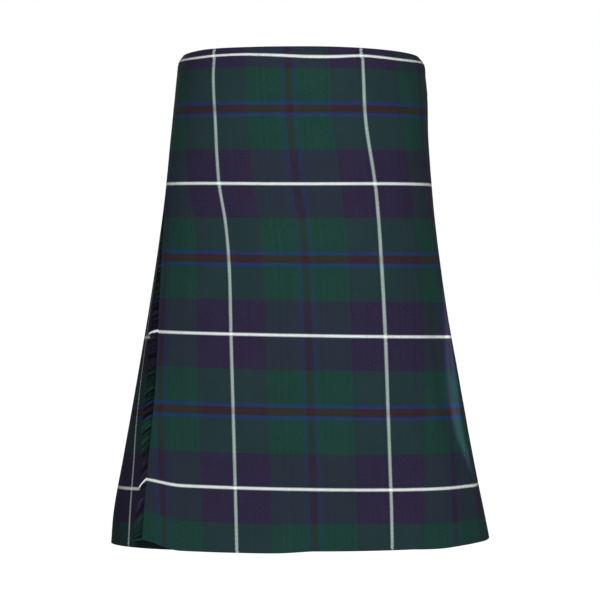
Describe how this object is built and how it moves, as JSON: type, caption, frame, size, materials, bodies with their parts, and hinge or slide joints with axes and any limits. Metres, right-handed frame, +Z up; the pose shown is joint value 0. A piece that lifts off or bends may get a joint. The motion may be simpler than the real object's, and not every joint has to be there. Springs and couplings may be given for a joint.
{
  "type": "scottish kilt",
  "caption": "Wrap-over tartan kilt filled out as worn: flat fringed outer apron, under apron, knife pleats round the back, narrow waistband, strap and buckle at each hip.",
  "frame": {"origin": "centre of the waist opening, at mid height of the waistband at the front", "axes": "+Z up towards the rim, -Y out of the front apron, +X towards the wearer's left"},
  "size_m": [0.4767, 0.3225, 0.628],
  "materials": {
    "tartan": "matt woollen twill, dark navy and green checks with narrow blue, dark brown and white lines",
    "leather": "smooth black strap leather, semi-matt",
    "buckle_metal": "polished steel"
  },
  "bodies": {
    "root": {"waistband": "tartan", "outer_apron": "tartan", "apron_fringe": "tartan", "under_apron": "tartan", "pleated_back": "tartan", "strap_right": "leather", "tab_right": "leather", "keeper_right": "leather", "buckle_right": "buckle_metal", "prong_right": "buckle_metal", "strap_left": "leather", "tab_left": "leather", "keeper_left": "leather", "buckle_left": "buckle_metal", "prong_left": "buckle_metal"}
  },
  "joints": []
}
